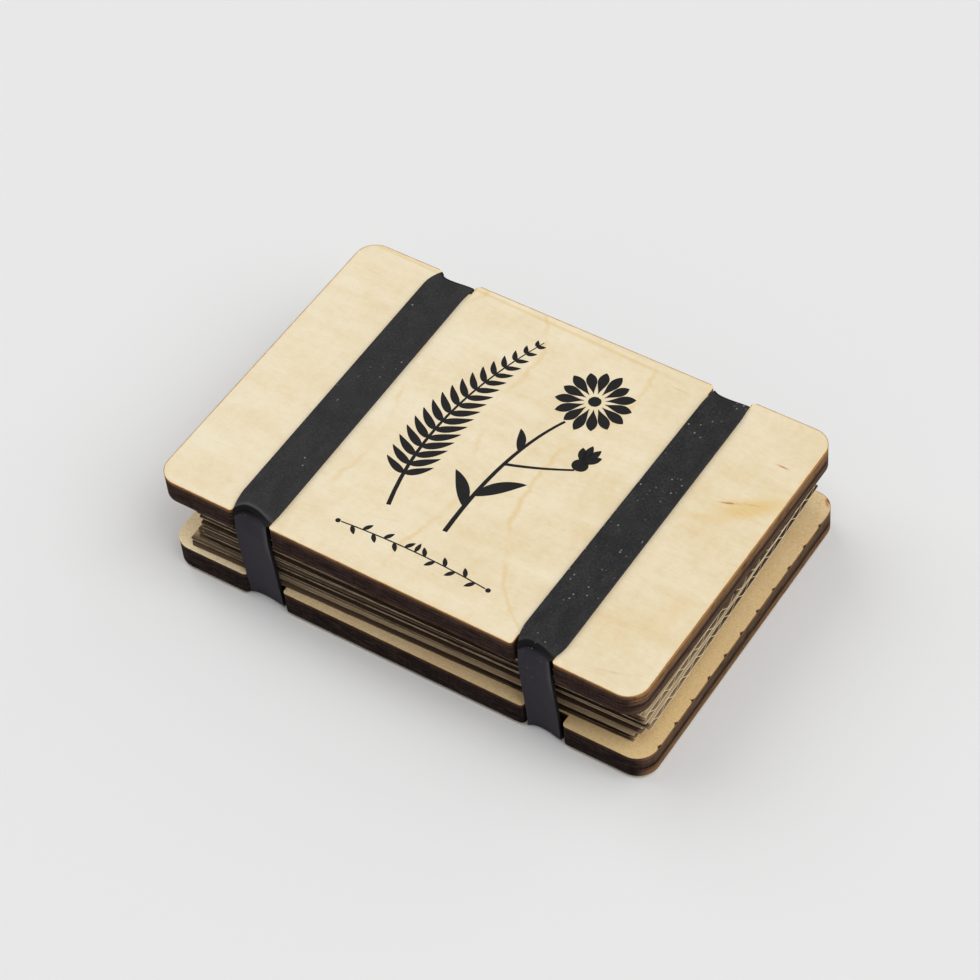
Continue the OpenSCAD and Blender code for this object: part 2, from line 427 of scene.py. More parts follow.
def birch_group():
    """Birch on the flat. Short fibres, mottling, broad bands, cloudy patches and flames turn the pale wood tan,
    and tiny brown specks lie along the fibres. The tone deepens a little from left to right."""
    group, given, result = new_group(
        "birch_grain",
        {"Point": "Vector", "Pale": "Color", "Tan": "Color", "Seed": "Float"},
        {"Colour": "Color", "Fibres": "Float"},
    )
    place = Place(group, given["Point"])
    seed = Field(group, given["Seed"])
    place.y = place.y + (place.noise(0.012, 0.03, 0, shift=seed * 5) - 0.5) * 9 + seed * 31
    fibres = place.noise(0.34, 2.4, 0.2, detail=4, roughness=0.7)
    mottle = place.noise(0.75, 1.1, 0.3, detail=4, roughness=0.6, shift=9)
    bands = place.noise(0.016, 0.36, 0.1, detail=3)
    clouds = place.noise(0.05, 0.09, 0.1, detail=3, roughness=0.6, shift=40)
    flames = place.noise(0.35, 0.16, 0.1, detail=2, shift=90)
    tone = (fibres - 0.5) * 0.6 + (mottle - 0.5) * 0.6 + (bands - 0.5) * 0.5
    tone = tone + (clouds - 0.5) * 1.1 + (flames - 0.5) * 0.5
    tone = (tone + place.x * (0.14 / BOARD_HALF_L) + 0.36).held()
    specks = place.noise(1.3, 5.5, 0.5, detail=2, shift=17).rise(0.66, 0.76)
    colour = Paint(group, given["Pale"]).towards(given["Tan"], tone)
    colour = colour.towards(SPECK_BROWN, specks * 0.2)
    wire(group, colour, result["Colour"])
    wire(group, fibres * 0.6 + mottle * 0.4 - specks * 0.5, result["Fibres"])
    return group


def rim_group():
    """How far a point on a board's face lies from the board's outline, notches included, in millimetres and as
    two ragged masks: a glow that the laser left in the wood, and the brown line at the very edge."""
    group, given, result = new_group(
        "laser_rim", {"Point": "Vector"}, {"Glow": "Float", "Line": "Float", "Distance": "Float"}
    )
    place = Place(group, given["Point"])
    from_middle = place.x.size()
    from_axis = place.y.size()
    past_x = from_middle - (BOARD_HALF_L - BOARD_CORNER_R)
    past_y = from_axis - (BOARD_HALF_W - BOARD_CORNER_R)
    round_part = (past_x.most(0) * past_x.most(0) + past_y.most(0) * past_y.most(0)).root()
    to_outline = BOARD_CORNER_R - round_part - past_x.most(past_y).least(0)
    beside = ((from_middle - NOTCH_X).size() - NOTCH_W / 2).most(0)
    before = ((BOARD_HALF_W - NOTCH_DEPTH) - from_axis).most(0)
    to_notch = (beside * beside + before * before).root()
    distance = to_outline.least(to_notch)
    ragged = place.noise(0.7, 0.7, 0.5, detail=3, roughness=0.6)
    wire(group, distance.rise(ragged * 1.2 + 0.1, 0.0), result["Glow"])
    wire(group, distance.rise(ragged * 0.3 + 0.04, 0.04), result["Line"])
    wire(group, distance, result["Distance"])
    return group


def edge_group():
    """A laser-cut edge: the tone of the board's ends turns into the tone of its long sides with the way the
    surface faces round its corners. Fine upright furrows follow the beam, and streaks and patches of soot lie
    between browner ones."""
    group, given, result = new_group(
        "laser_edge",
        {"Point": "Vector", "Facing": "Vector", "End": "Color", "Side": "Color"},
        {"Colour": "Color", "Furrows": "Float", "Mask": "Float"},
    )
    place = Place(group, given["Point"])
    facing = Place(group, given["Facing"])
    near_end = place.x.size().rise(BOARD_HALF_L - 9, BOARD_HALF_L - 5.5)
    at_end = facing.x.size().rise(0.35, 0.95) * near_end
    furrows = place.noise(2.2, 2.2, 0.25, detail=3, roughness=0.6)
    streaks = place.noise(0.25, 0.25, 2.1, detail=4, roughness=0.7)
    patches = place.noise(0.12, 0.12, 0.5, detail=2, shift=60)
    tone = (furrows - 0.5) * 1.1 + (streaks - 0.5) * 4.0 + (patches - 0.5) * 0.9
    colour = Paint(group, given["Side"]).towards(given["End"], at_end)
    colour = colour.towards(SOOT, (tone + 0.05).held())
    colour = colour.towards(CHAR_UMBER, (tone * -0.5).held())
    wire(group, colour, result["Colour"])
    wire(group, furrows * 0.6 + streaks * 0.4, result["Furrows"])
    wire(group, facing.z.size().rise(0.9, 0.5), result["Mask"])
    return group


def fleck_group():
    """A mark in the grain: an oval about a point, turned, with a half length and a half width, which breaks up
    along the fibres. As a veil (1) it lies softly over them instead."""
    numbers = ("X", "Y", "Turn", "Length", "Width", "Veil")
    group, given, result = new_group(
        "grain_fleck", {"Point": "Vector", **dict.fromkeys(numbers, "Float")}, {"Mask": "Float"}
    )
    place = Place(group, given["Point"])
    turn = Field(group, given["Turn"])
    cos, sin = turn.sum("COSINE", turn), turn.sum("SINE", turn)
    dx, dy = place.x - given["X"], place.y - given["Y"]
    along = (dx * cos + dy * sin) / Field(group, given["Length"])
    across = (dy * cos - dx * sin) / Field(group, given["Width"])
    reach = (along * along + across * across).root()
    broken = place.noise(0.5, 4.0, 0.5, detail=3, roughness=0.6)
    veil = Field(group, given["Veil"])
    cover = broken.rise(veil * -0.5 + 0.28, veil * 0.25 + 0.62)
    wire(group, reach.rise(1.0, 0.15) * cover, result["Mask"])
    return group


def kraft_group():
    """Brown paper: short fibres every way, darker and paler, over soft clouds."""
    group, given, result = new_group(
        "paper_fibres",
        {"Point": "Vector", "Base": "Color", "Shade": "Color"},
        {"Colour": "Color", "Fibres": "Float"},
    )
    place = Place(group, given["Point"])
    fine = place.noise(1.1, 4.5, 4.5, detail=4, roughness=0.7)
    cross = place.noise(4.5, 1.1, 4.5, detail=4, roughness=0.7, shift=25)
    clouds = place.noise(0.12, 0.12, 0.12, detail=2, shift=70)
    fibres = fine * 0.5 + cross * 0.5
    tone = ((fibres - 0.5) * 1.8 + (clouds - 0.5) * 0.9 + 0.4).held()
    wire(group, Paint(group, given["Base"]).towards(given["Shade"], tone), result["Colour"])
    wire(group, fibres, result["Fibres"])
    return group


BIRCH = birch_group()
RIM = rim_group()
EDGE = edge_group()
FLECK = fleck_group()
FIBRES = kraft_group()

# Marks in the upper face: x, y, turn in degrees, half length, half width, and strength from 0 to 1
UPPER_FLECKS = [
    (53.4, 14.5, 22, 3.6, 0.50, 0.95),
    (58.2, 16.6, 16, 3.4, 0.22, 0.45),
    (26.6, 38.4, -2, 3.6, 0.35, 0.45),
    (58.9, 29.8, 0, 2.4, 0.40, 0.85),
    (-10.7, -27.6, 16, 6.0, 0.45, 0.12),
    (56.3, -38.8, 14, 8.0, 0.55, 0.14),
]
# Broad yellow smudges, by the same six numbers
UPPER_SMUDGES = [
    (58.5, 15.5, 38, 12.0, 4.4, 1.0),
    (51.0, 8.3, 20, 10.0, 1.8, 0.4),
    (-54.0, -6.3, 12, 4.0, 1.2, 0.25),
    (-51.5, -13.4, -8, 3.2, 1.0, 0.22),
    (58.5, -20.0, 70, 9.0, 4.0, 0.25),
]
# Growth lines that wander across the face: their half width, and x at equal steps from the front edge to the
# back one
RING_HALF_W = 1.1
UPPER_RINGS = [
    [40.5, 25.5, 19.0, 14.0, 12.5, 12.0, 14.0, 18.5, 19.5, 17.5],
    [-3.5, -4.0, -2.0, -0.5, -3.0, -6.5, -8.5, -7.5, -8.0, -13.5],
    [-29.5, -31.0, -28.5, -26.5, -27.0, -29.5, -32.5, -34.0, -32.5, -29.5],
]


def ring_line(place, stops, width):
    """A thin line that follows x = curve(y) across a board's face."""
    tree = place.tree
    node = tree.nodes.new("ShaderNodeFloatCurve")
    curve = node.mapping.curves[0]
    while len(curve.points) < len(stops):
        curve.points.new(0.5, 0.5)
    for spot, (step, x) in zip(list(curve.points), enumerate(stops)):
        spot.location = (step / (len(stops) - 1), x / (2 * BOARD_HALF_L) + 0.5)
    node.mapping.update()
    wire(tree, place.y / (2 * BOARD_HALF_W) + 0.5, node.inputs["Value"])
    line_x = (Field(tree, node.outputs[0]) - 0.5) * (2 * BOARD_HALF_L)
    wobble = (place.noise(0.1, 0.35, 0, detail=3) - 0.5) * 3.0
    faint = place.noise(0.05, 0.06, 0, detail=2, shift=120).rise(0.36, 0.6)
    return (place.x - line_x + wobble).size().rise(width, 0.0) * faint


def upper_marks(place, colour):
    """The upper face's growth lines, one more line along its back edge, its smudges and its flecks."""
    for stops in UPPER_RINGS:
        colour = colour.towards(RING_AMBER, ring_line(place, stops, RING_HALF_W) * 0.45)
    edge_line = (place.y - 41.2 + (place.x - 5.5) * 0.024).size().rise(0.8, 0.0) * place.x.rise(30, 10)
    colour = colour.towards(RING_AMBER, edge_line * 0.5)
    for marks, tone, veil in ((UPPER_SMUDGES, SMUDGE_YELLOW, 1.0), (UPPER_FLECKS, STREAK_AMBER, 0.0)):
        for x, y, turn, length, width, strength in marks:
            oval = {"X": x, "Y": y, "Turn": math.radians(turn), "Length": length, "Width": width}
            fleck = use_group(place.tree, FLECK, Point=place, Veil=veil, **oval)
            colour = colour.towards(tone, fleck["Mask"] * strength)
    return colour


# The honeycomb bed that the board lay on while it was cut: from one wall to the next, y of one of them, how far
# the mark of each reaches, and x from where on the marks show
BED_PITCH = 7.24
BED_PHASE_Y = -1.44
BED_MARK_W = 1.05
BED_MARK_X = 58.0


def bed_marks(place, colour):
    """Dark bites at the lower board's right edge, one for each wall of the honeycomb, and a burn at its corner.
    The wood is mottled, and turns golden towards that edge. Towards the left one it turns pale as painted light."""
    colour = colour.towards(INSIDE_GOLD, place.x.rise(10, 64) * place.y.rise(75, -40) * 0.8)
    # Painted light: paler towards the left end
    colour = colour.towards(INSIDE_PAINTED_LIGHT, place.x.rise(-38, -54))
    mottle = place.noise(0.9, 1.4, 0, detail=4, roughness=0.7, shift=61)
    colour = colour.towards(SPECK_BROWN, mottle.rise(0.5, 0.8) * 0.45)
    colour = colour.towards(INSIDE_PALE, mottle.rise(0.5, 0.2) * 0.5)
    lint = place.noise(1.5, 4.2, 0, detail=4, roughness=0.7, shift=5)
    colour = colour.towards(SPECK_BROWN, lint.rise(0.42, 0.78) * 0.55)
    rim = use_group(place.tree, RIM, Point=place)
    wander = place.noise(1.5, 1.5, 0, detail=3, roughness=0.6)
    cell = ((place.y - BED_PHASE_Y) / BED_PITCH + 100.5).part() - 0.5
    spread = cell.size() * BED_PITCH + rim["Distance"] * 1.3 + (wander - 0.5) * 1.2
    at_edge = place.x.rise(BED_MARK_X, BED_MARK_X + 2)
    colour = colour.towards(CHAR_UMBER, spread.rise(BED_MARK_W, BED_MARK_W * 0.5) * at_edge)
    colour = colour.towards(SOOT, spread.rise(BED_MARK_W * 0.65, BED_MARK_W * 0.35) * at_edge * 0.7)
    oval = {"X": 63.0, "Y": 41.6, "Turn": math.radians(-52), "Length": 2.2, "Width": 0.7}
    burn = use_group(place.tree, FLECK, Point=place, **oval)
    return colour.towards(STREAK_AMBER, burn["Mask"])


# The char on the boards' edges, as the laser left it: tones at the six limits of the plies, from a board's top
# down, along its long sides and at its ends
EDGE_TONES = {
    "upper": (
        (CHAR_TAWNY, CHAR_DARK, CHAR_BLACK, CHAR_BLACK, CHAR_BLACK, CHAR_DARK),
        (CHAR_AMBER, CHAR_TAWNY, CHAR_TAWNY, CHAR_COAL, CHAR_UMBER, CHAR_UMBER),
    ),
    "lower": (
        (CHAR_DARK, CHAR_COAL, CHAR_COAL, CHAR_COAL, CHAR_COAL, CHAR_COAL),
        (CHAR_TAWNY, CHAR_UMBER, CHAR_UMBER, SOOT, CHAR_TAWNY, CHAR_TAWNY),
    ),
}
# The plies from the upper board's face down, and how much the grain shifts from one to the next
UPPER_PLIES = ("face_veneer", "outer_crossband", "core_veneer", "inner_crossband", "inside_veneer")
PLY_SEED = 0.37


def veneer_material(node, board_place, seed, pale, tan, tones, glow, marks, lit_rim):
    """One ply: birch on its faces, singed at their outline, and the laser's char on its edges, darker along the
    glue. The top rim of its edges can get an orange painted highlight."""
    material, tree, shader = new_material(node, roughness=0.8, specular=0.05)
    place = surface_place(tree, board_place)
    grain = use_group(tree, BIRCH, Point=place, Pale=pale, Tan=tan, Seed=seed)
    rim = use_group(tree, RIM, Point=place)
    colour = grain["Colour"].towards(SCORCH_GLOW, rim["Glow"] * glow).towards(SCORCH_BROWN, rim["Line"])
    if marks:
        colour = marks(place, colour)
    climb = (place.z - box_mm(node)[0].z) / PLY_T
    side, end = (Paint(tree, low_tone).towards(high_tone, climb) for high_tone, low_tone in tones)
    edge = use_group(tree, EDGE, Point=place, Facing=surface_facing(tree), End=end, Side=side)
    char = edge["Colour"].towards(SOOT, climb.least(1 - climb).rise(0.13, 0.0) * 0.6)
    if lit_rim:
        # Painted highlight: an orange line along the top rim of the edge
        char = char.towards(RIM_HIGHLIGHT_ORANGE, climb.rise(0.78, 0.96))
    wire(tree, colour.towards(char, edge["Mask"]), shader.inputs["Base Color"])
    height = grain["Fibres"] * 0.25 * (1 - edge["Mask"]) + edge["Furrows"] * edge["Mask"]
    raise_surface(tree, shader, height, 0.06)
    return material


def add_veneers():
    for board, board_place, plies, glow, marked, marks in (
        ("upper", UPPER_PLACE, UPPER_PLIES, 0.6, "face_veneer", upper_marks),
        ("lower", LOWER_PLACE, UPPER_PLIES[::-1], 0.35, "inside_veneer", bed_marks),
    ):
        for k, ply in enumerate(plies):
            flat = (BIRCH_PALE, BIRCH_TAN) if ply == "face_veneer" else (INSIDE_PALE, INSIDE_TAN)
            node = f"{board}_board_{ply}"
            tones = [limits[k:k + 2] for limits in EDGE_TONES[board]]
            own_marks = marks if ply == marked else None
            lit_rim = board == "upper" and k == 0
            finish = veneer_material(node, board_place, k * PLY_SEED, *flat, tones, glow, own_marks, lit_rim)
            dress([node], finish)


def card_material(name, low, high, seed):
    """Corrugated card: kraft liners above and below a darker fluted paper. The ends are fresh and pale and the
    long sides are singed. The margins of the flat faces along them get painted shade, and so do the flutes further
    in."""
    material, tree, shader = new_material(name, roughness=0.88, specular=0.1)
    place = surface_place(tree)
    facing = surface_facing(tree)
    middle, half_t = (low.z + high.z) / 2, (high.z - low.z) / 2
    from_middle = (place.z - middle).size()
    liner = from_middle.rise(half_t - 0.34, half_t - 0.2)
    at_end = facing.x.size().rise(0.5, 0.9)
    on_flat = facing.z.size().rise(0.45, 0.6)
    inside = from_middle.rise(half_t - 0.05, half_t - 0.1)
    into_flute = (place.x - low.x).least(high.x - place.x)
    margin = (place.y - low.y).least(high.y - place.y)
    # Painted shade: the inside of the flutes darkens further in from the cut ends
    hollow = Paint(tree, FLUTE_HOLLOW).towards(FLUTE_DEEP_SHADE, into_flute.rise(0.3, 1.8))
    # Painted shade on the flat faces along the long sides
    flat = Paint(tree, KRAFT_FACE).towards(KRAFT_MARGIN_SHADE, margin.rise(2.4, 0.2))
    colour = Paint(tree, KRAFT_SINGED_MEDIUM).towards(KRAFT_SINGED, liner)
    colour = colour.towards(Paint(tree, KRAFT_MEDIUM).towards(KRAFT_PALE, liner), at_end)
    colour = colour.towards(flat.towards(hollow, inside), on_flat)
    fibres = use_group(tree, FIBRES, Point=place, Base=colour, Shade=KRAFT_SHADE)
    clouds = place.noise(0.16, 0.16, 0.9, detail=3, roughness=0.6, shift=seed * 7)
    strands = place.noise(0.22, 0.22, 2.3, detail=4, roughness=0.75, shift=seed * 3)
    singes = ((clouds - 0.45) * 1.2 + (strands - 0.5) * 4.2 + 0.12).held()
    singes = singes * (1 - at_end) * (1 - on_flat)
    colour = colour.towards(fibres["Colour"], 0.4).towards(SOOT, singes)
    wire(tree, colour, shader.inputs["Base Color"])
    raise_surface(tree, shader, fibres["Fibres"], 0.05)
    return material


def add_cards():
    for n in range(1, 6):
        name = f"corrugated_card_{n}"
        dress([name], card_material(name, *box_mm(name), seed=n))


def add_blotters():
    """Blotting paper, browner towards the left and on its singed long edges, with painted shade along the margins
    of its faces by those edges.
    """
    material, tree, shader = new_material("blotting_paper", roughness=0.95, specular=0.08)
    place = surface_place(tree)
    singed = surface_facing(tree).y.size().rise(0.5, 0.9)
    # Browner towards the left
    base = Paint(tree, PAPER_TAN).towards(PAPER_WHITE, place.x.rise(10, 58))
    # Painted shade along the margins of the faces by the long edges
    base = base.towards(KRAFT_MARGIN_SHADE, place.y.size().rise(37.2, 39.6)).towards(KRAFT_SINGED, singed)
    fibres = use_group(tree, FIBRES, Point=place, Base=base, Shade=PAPER_SHADE)
    wire(tree, fibres["Colour"], shader.inputs["Base Color"])
    raise_surface(tree, shader, fibres["Fibres"], 0.06)
    dress([f"blotter_{n}_{side}" for n in range(1, 5) for side in ("upper", "lower")], material)


# The rubber bands

BAND_T = 1.0
BAND_CORNER_R = 0.16
LIP_R = 0.7
INNER_LIP_R = 0.12
EDGE_DROOP = 0.35
DRAW_IN_L = 3.2
TOP_Z, GRIP_Z = BAND_HIGH.z, UPPER_HIGH.z - PLY_T
RUN_STEPS, LIP_STEPS, SIDE_STEPS, ACROSS_STEPS, CORNER_STEPS = 26, 7, 48, 33, 4

# A run's heights from the table up, for the distances from the press's long axis below
RUN_Z = (BAND_LOW.z, LOWER_HIGH.z, UPPER_UNDERSIDE, GRIP_Z, TOP_Z)

# How each band lies, in mm. On top: x of its middle, how far that drifts for each mm of y, its half width and
# how that changes for each mm of y. Then for its front run and its back one, at each of RUN_Z: how far out its
# middle and its edges are. Then x of its left and right edges where it leaves the lower and the upper board.
# Then how far its right edge is drawn in just under the lip, and how much further out its left edge is than its
# right one, as a share, each at the front and at the back
BAND_LIES = {
    "left": {
        "top": (-39.28, -0.0100, 5.54, -0.0025),
        "front": ((42.2, 42.6, 42.4, 40.75, 40.75), (42.9, 43.3, 42.95, 42.45, 42.45)),
        "back": ((41.2, 41.2, 41.85, 41.9, 41.9), (41.9, 41.9, 42.7, 43.05, 43.05)),
        "front_edges": ((-42.5, -33.2), (-43.6, -33.5)),
        "back_edges": ((-43.4, -34.2), (-43.7, -33.75)),
        "nips": (1.35, 0.0),
        "tilt": (0.12, 0.43),
    },
    "right": {
        "top": (37.63, 0.0, 5.38, -0.0058),
        "front": ((41.85, 42.0, 41.7, 40.95, 40.95), (42.8, 42.9, 42.6, 42.25, 42.25)),
        "back": ((41.4, 41.5, 41.8, 41.75, 41.75), (42.1, 42.1, 42.4, 42.55, 42.55)),
        "front_edges": ((34.3, 43.0), (33.2, 42.4)),
        "back_edges": ((33.9, 42.5), (32.9, 42.4)),
        "nips": (1.05, 0.0),
        "tilt": (0.1, 0.2),
    },
}
# How far the run falls back behind the lip that it hangs from, at the upper board and at the lower one, how far
# down its pit is deepest, and how long the pit is
OVERHANG = (0.7, 0.12)
PIT_DOWN, PIT_L = 1.2, 1.0
# How far down from a lip the band leaves it, how far before the lip its edges start to stray and to droop, and
# how far below it the droop ends
LEAVE_L = 0.4
STRAY_L = 2.0
DROOP_L = 1.2
# How closely a run's points crowd under its lip
CROWDING = 1.8
# How far the deepest part of the hollow across a run lies left of its middle, as a share of the half width
HOLLOW_SKEW = 0.3
HOLLOW_POWER = 2.5
# The nip in the right edge: z where it starts, the power that it grows by, and how soon it is full under the lip
NIP_LOW_Z = 6.0
NIP_POWER = 1.3
NIP_L = 0.8
# The painted highlight on the crest: how far before the lip it is brightest, and its width
CREST_BEFORE, CREST_L = 0.3, 0.35
# The painted shade in the pit: how far before the lip it starts and how soon it is full, how far down it begins
# to fade, how much higher that is at the right edge, and how long the fade is
PIT_BEFORE, PIT_RISE_L = 0.12, 0.25
PIT_END, PIT_SLANT, PIT_FADE_L = 1.25, 0.35, 0.9
# The painted highlight along the right edge: the share of the half width where it starts, then the height where
# it starts to show and how soon it is full above that, and the same for the way down from the lip
EDGE_LIGHT_SHARE = 0.6
EDGE_LIGHT_Z, EDGE_LIGHT_RISE_L = 13.0, 9.0
EDGE_LIGHT_DOWN, EDGE_LIGHT_FADE_L = 1.2, 1.5
# How dark the painted shade on the cut edges is
CUT_SHADE = 0.85


def smooth(share):
    """0 up to 0, 1 from 1 on, and half a cosine wave between."""
    return (1 - np.cos(math.pi * np.clip(share, 0, 1))) / 2


def bell(way):
    """1 in the middle, and a bell curve to either side."""
    return np.exp(-(way ** 2))


def run_quarter(level, middle, edge, inner):
    """From the middle of a flat run round a lip to half way along a side run, for the upper half of the loop
    (level 1) or the lower one (level -1). middle and edge give how far out the band is at each of RUN_Z. The
    lip is a quarter circle. Below it the run falls back by the overhang, as a bell curve of the way down, and
    then follows its line. Returns how far out the middle is and how much further the edge, z, the way to the
    lip and the way past it."""
    radius = INNER_LIP_R if inner else LIP_R
    thick = BAND_T if inner else 0.0
    middle, edge = np.array(middle) - thick, np.array(edge) - thick
    end_z = (TOP_Z - thick) if level > 0 else thick
    half_z = TOP_Z / 2
    lip = middle[-1] if level > 0 else middle[0]
    lip_edge = edge[-1] if level > 0 else edge[0]
    flat = (lip - radius) * (1 - (1 - np.linspace(0, 1, RUN_STEPS)) ** 2)
    angle = np.linspace(0, math.pi / 2, LIP_STEPS)[1:-1]
    lip_z = end_z - level * radius
    side_z = lip_z + (half_z - lip_z) * np.linspace(0, 1, SIDE_STEPS) ** CROWDING
    down = np.abs(side_z - side_z[0])
    line = np.interp(side_z, RUN_Z, middle)
    overhang = 0.0 if inner else OVERHANG[0 if level > 0 else 1]
    line = line - overhang * bell((down - PIT_DOWN) / PIT_L)
    line = line + (lip - line) * bell(down / LEAVE_L)
    edge_line = np.interp(side_z, RUN_Z, edge)
    out = np.concatenate([flat, lip - radius + radius * np.sin(angle), line])
    z = np.concatenate([np.full(RUN_STEPS, end_z), end_z - level * radius * (1 - np.cos(angle)), side_z])
    before = np.concatenate([lip - radius - flat, np.zeros(len(angle) + SIDE_STEPS)])
    spread = (lip_edge - lip) * bell(before / STRAY_L)
    spread[RUN_STEPS + len(angle):] = edge_line - line
    past = np.concatenate([np.zeros(RUN_STEPS + len(angle)), down])
    return out, spread, z, before, past


def band_section():
    """A flat strip's outline, once round: share of the half width, offset outside it in corner radii, and share
    of the way from the inner face to the outer one. Its four corners are quarter circles."""
    across = np.linspace(-1, 1, ACROSS_STEPS)
    angle = np.linspace(0, math.pi / 2, CORNER_STEPS)[1:-1]
    r = BAND_CORNER_R / BAND_T
    shares, offsets, depths = [across], [np.zeros(ACROSS_STEPS)], [np.ones(ACROSS_STEPS)]
    for side in (1, -1):
        low, high = (1 - r, r) if side > 0 else (r, 1 - r)
        upper = 1 - r + r * np.cos(angle) if side > 0 else r - r * np.cos(angle)
        bow = np.sin(angle)
        shares.append(np.full(2 * len(angle) + 2, side))
        offsets.append(side * np.concatenate([bow, [1, 1], bow[::-1]]))
        depths.append(np.concatenate([upper, [low, high], (1 - upper)[::-1]]))
        if side > 0:
            shares.append(across[::-1])
            offsets.append(np.zeros(ACROSS_STEPS))
            depths.append(np.zeros(ACROSS_STEPS))
    return np.concatenate(shares), np.concatenate(offsets), np.concatenate(depths)


def band_edges(lie, way, out, before, past, z):
    """x of the band's left and right edges along a quarter of its loop: over the board they follow its lie on
    top, towards a lip they draw in as a square of the way, and along the run they pass from the upper board's
    pair to the lower one's by half a cosine wave. The right one is nipped in under the lip, and the nip fades
    as a power of the height."""
    middle_x, drift, half_w, half_w_drift = lie["top"]
    lower, upper = lie["front_edges" if way < 0 else "back_edges"]
    along_run = smooth((z - LOWER_HIGH.z / 2) / (UPPER_UNDERSIDE - LOWER_HIGH.z / 2))
    nip = lie["nips"][0 if way < 0 else 1] * np.clip((z - NIP_LOW_Z) / (GRIP_Z - NIP_LOW_Z), 0, 1) ** NIP_POWER
    nip = nip * (1 - bell(past / NIP_L))
    edges = []
    for k, side in enumerate((-1, 1)):
        on_top = middle_x + drift * way * out + side * (half_w + half_w_drift * way * out)
        at_run = lower[k] + (upper[k] - lower[k]) * along_run - k * nip
        edges.append(at_run + (on_top - at_run) * (1 - (1 - np.clip(before / DRAW_IN_L, 0, 1)) ** 2))
    return edges


def band_painted_light(shares, offsets, z, before, past):
    """Where paint stands in for light on a quarter of the loop, as masks. The crest gets a painted highlight, a
    bell curve of the way to the lip. The pit gets painted shade, which rises over the lip and fades by half a
    cosine wave on the way down, earlier towards the right edge. The cut edges get painted shade along the run, and
    the right edge gets a painted highlight that grows as a power of the share across."""
    on_top = past == 0
    crest = bell((before - CREST_BEFORE) / CREST_L) * on_top
    # Painted shade in the pit under the lip
    pit = np.where(np.abs(z - z[0]) < 1e-6, smooth((PIT_BEFORE - before) / PIT_RISE_L), 1.0)
    pit = pit * (1 - smooth((past - PIT_END + PIT_SLANT * shares) / PIT_FADE_L))
    pit = pit * (1 - 0.35 * np.clip(shares, 0, 1) ** 3)
    # Painted shade on the cut edges along the run
    cut = np.abs(offsets) * ~on_top * CUT_SHADE
    # Painted highlight along the right edge
    edge_light = np.clip((shares - EDGE_LIGHT_SHARE) / (1 - EDGE_LIGHT_SHARE), 0, 1) ** 1.5
    edge_light = edge_light * smooth((z - EDGE_LIGHT_Z) / EDGE_LIGHT_RISE_L) * smooth((past - EDGE_LIGHT_DOWN) / EDGE_LIGHT_FADE_L)
    return crest, pit, cut, edge_light


def band_surface(lie):
    """The band as a grid: its section carried round its loop, quarter by quarter, top to back to bottom to
    front. Across the band the distance out passes from the middle's to the edge's as a power of the distance
    from the deepest line, and the edges of a lip droop. Gives the points, the way across and round of each, and
    the masks of its painted light and shade."""
    shares, offsets, depths = band_section()
    hollow_at = shares + HOLLOW_SKEW * (1 - shares ** 2)
    hollow = np.abs(hollow_at) ** HOLLOW_POWER
    grids, runs, painted_lights, length = [], [], [], 0.0
    for way, level in ((1, 1), (1, -1), (-1, -1), (-1, 1)):
        middle, edge = lie["front" if way < 0 else "back"]
        out, spread, z, before, past = run_quarter(level, middle, edge, inner=False)
        in_out, in_spread, in_z, _, _ = run_quarter(level, middle, edge, inner=True)
        tilt = lie["tilt"][0 if way < 0 else 1]
        left, right = band_edges(lie, way, out, before, past, z)
        half_w = (right - left)[:, None] / 2 - BAND_CORNER_R
        x = (left + right)[:, None] / 2 + half_w * shares + BAND_CORNER_R * offsets
        lean = 1 - tilt * shares
        outer = out[:, None] + spread[:, None] * hollow * lean
        inner = in_out[:, None] + in_spread[:, None] * hollow * lean
        at_lip = bell(before / STRAY_L) * bell(past / DROOP_L)
        outer_z = z[:, None] - level * EDGE_DROOP * at_lip[:, None] * hollow
        y = way * (inner + (outer - inner) * depths)
        height = in_z[:, None] + (outer_z - in_z[:, None]) * depths
        crest, pit, cut, edge_light = band_painted_light(shares, offsets, z[:, None], before[:, None], past[:, None])
        # The crest's painted highlight shows only on the front lips
        crest = crest * (1 - 0.4 * hollow) * (level > 0) * (way < 0)
        # Painted light masks: highlight on the crest, shade in the pit and on the cut edges, highlight along the
        # right edge
        painted_light = np.stack([crest, np.maximum((level > 0) * pit, cut), edge_light * (cut == 0)], -1)
        run = np.concatenate([[0], np.cumsum(np.hypot(np.diff(out), np.diff(z)))])
        rows = slice(None, -1)
        if way * level < 0:
            x, y, height, painted_light, run = x[::-1], y[::-1], height[::-1], painted_light[::-1], run[-1] - run[::-1]
        grids.append(np.stack([x, y, height], -1)[rows])
        painted_lights.append(painted_light[rows])
        runs.append(length + run[rows])
        length += run.max()
    points = np.concatenate(grids)
    run = np.concatenate(runs)
    wrap = np.stack([points[..., 0] - points[..., 0].mean(), run[:, None] + 0 * points[..., 0]], -1)
    return points, wrap, np.concatenate(painted_lights)


